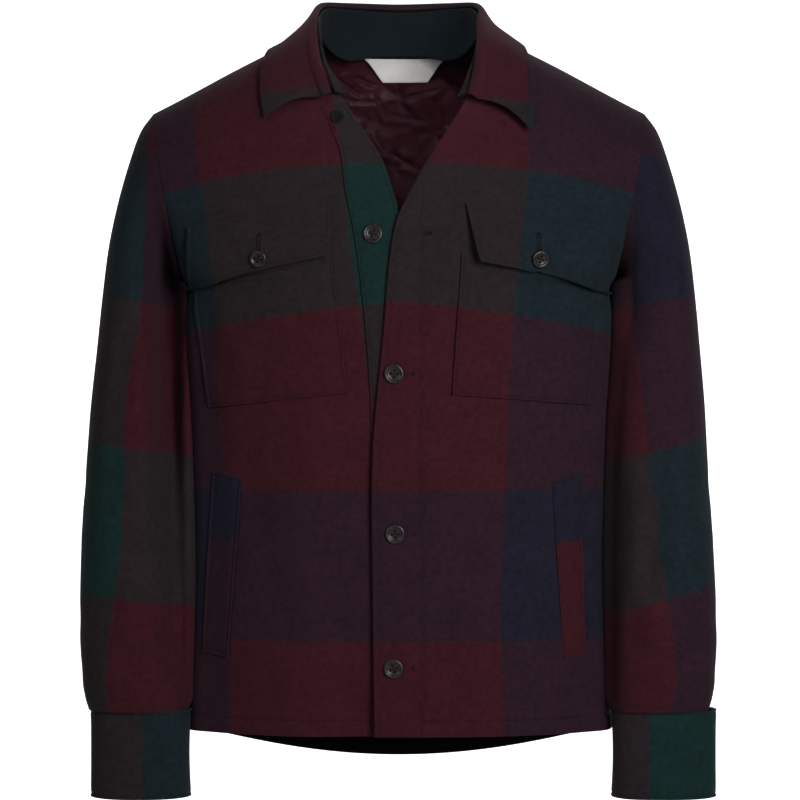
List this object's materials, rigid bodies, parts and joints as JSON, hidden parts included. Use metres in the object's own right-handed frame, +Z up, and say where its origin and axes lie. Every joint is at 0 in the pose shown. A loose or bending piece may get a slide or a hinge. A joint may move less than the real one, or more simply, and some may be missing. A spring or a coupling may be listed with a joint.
{
  "type": "shacket",
  "caption": "Check wool shirt jacket with spread collar, buttoned flap chest pockets, slanted side welts, cuffs and a satin-lined back, held by the shoulders.",
  "frame": {"origin": "on the middle plane, level with the high points of the shoulder seams at the neck, where the wearer's shoulders hold the garment", "axes": "+Z up, -Y to the front, +X to the wearer's left"},
  "size_m": [0.6472, 0.2484, 0.8202],
  "materials": {
    "wool_wine": "brushed wool, wine check",
    "wool_charcoal": "brushed wool, charcoal check",
    "wool_green": "brushed wool, green check",
    "wool_navy": "brushed wool, navy check",
    "satin": "crumpled satin",
    "label": "plain woven, bare",
    "button": "satin, four holes"
  },
  "bodies": {
    "root": {"back_panel": "wool_wine", "front_left": "wool_wine", "front_right": "wool_wine", "collar_leaf": "wool_wine", "placket_left": "wool_wine", "chest_pocket_left": "wool_wine", "chest_pocket_right": "wool_wine", "sleeve_left": "wool_charcoal", "sleeve_right": "wool_charcoal", "cuff_left": "wool_charcoal", "cuff_right": "wool_charcoal", "pocket_flap_left": "wool_charcoal", "pocket_flap_right": "wool_charcoal", "placket_right": "wool_green", "collar_stand": "wool_navy", "welt_left": "wool_navy", "welt_right": "wool_navy", "lining_back": "satin", "neck_label": "label", "front_button_1": "button", "front_button_2": "button", "front_button_3": "button", "front_button_4": "button", "flap_button_left": "button", "flap_button_right": "button", "stand_button": "button"}
  },
  "joints": []
}
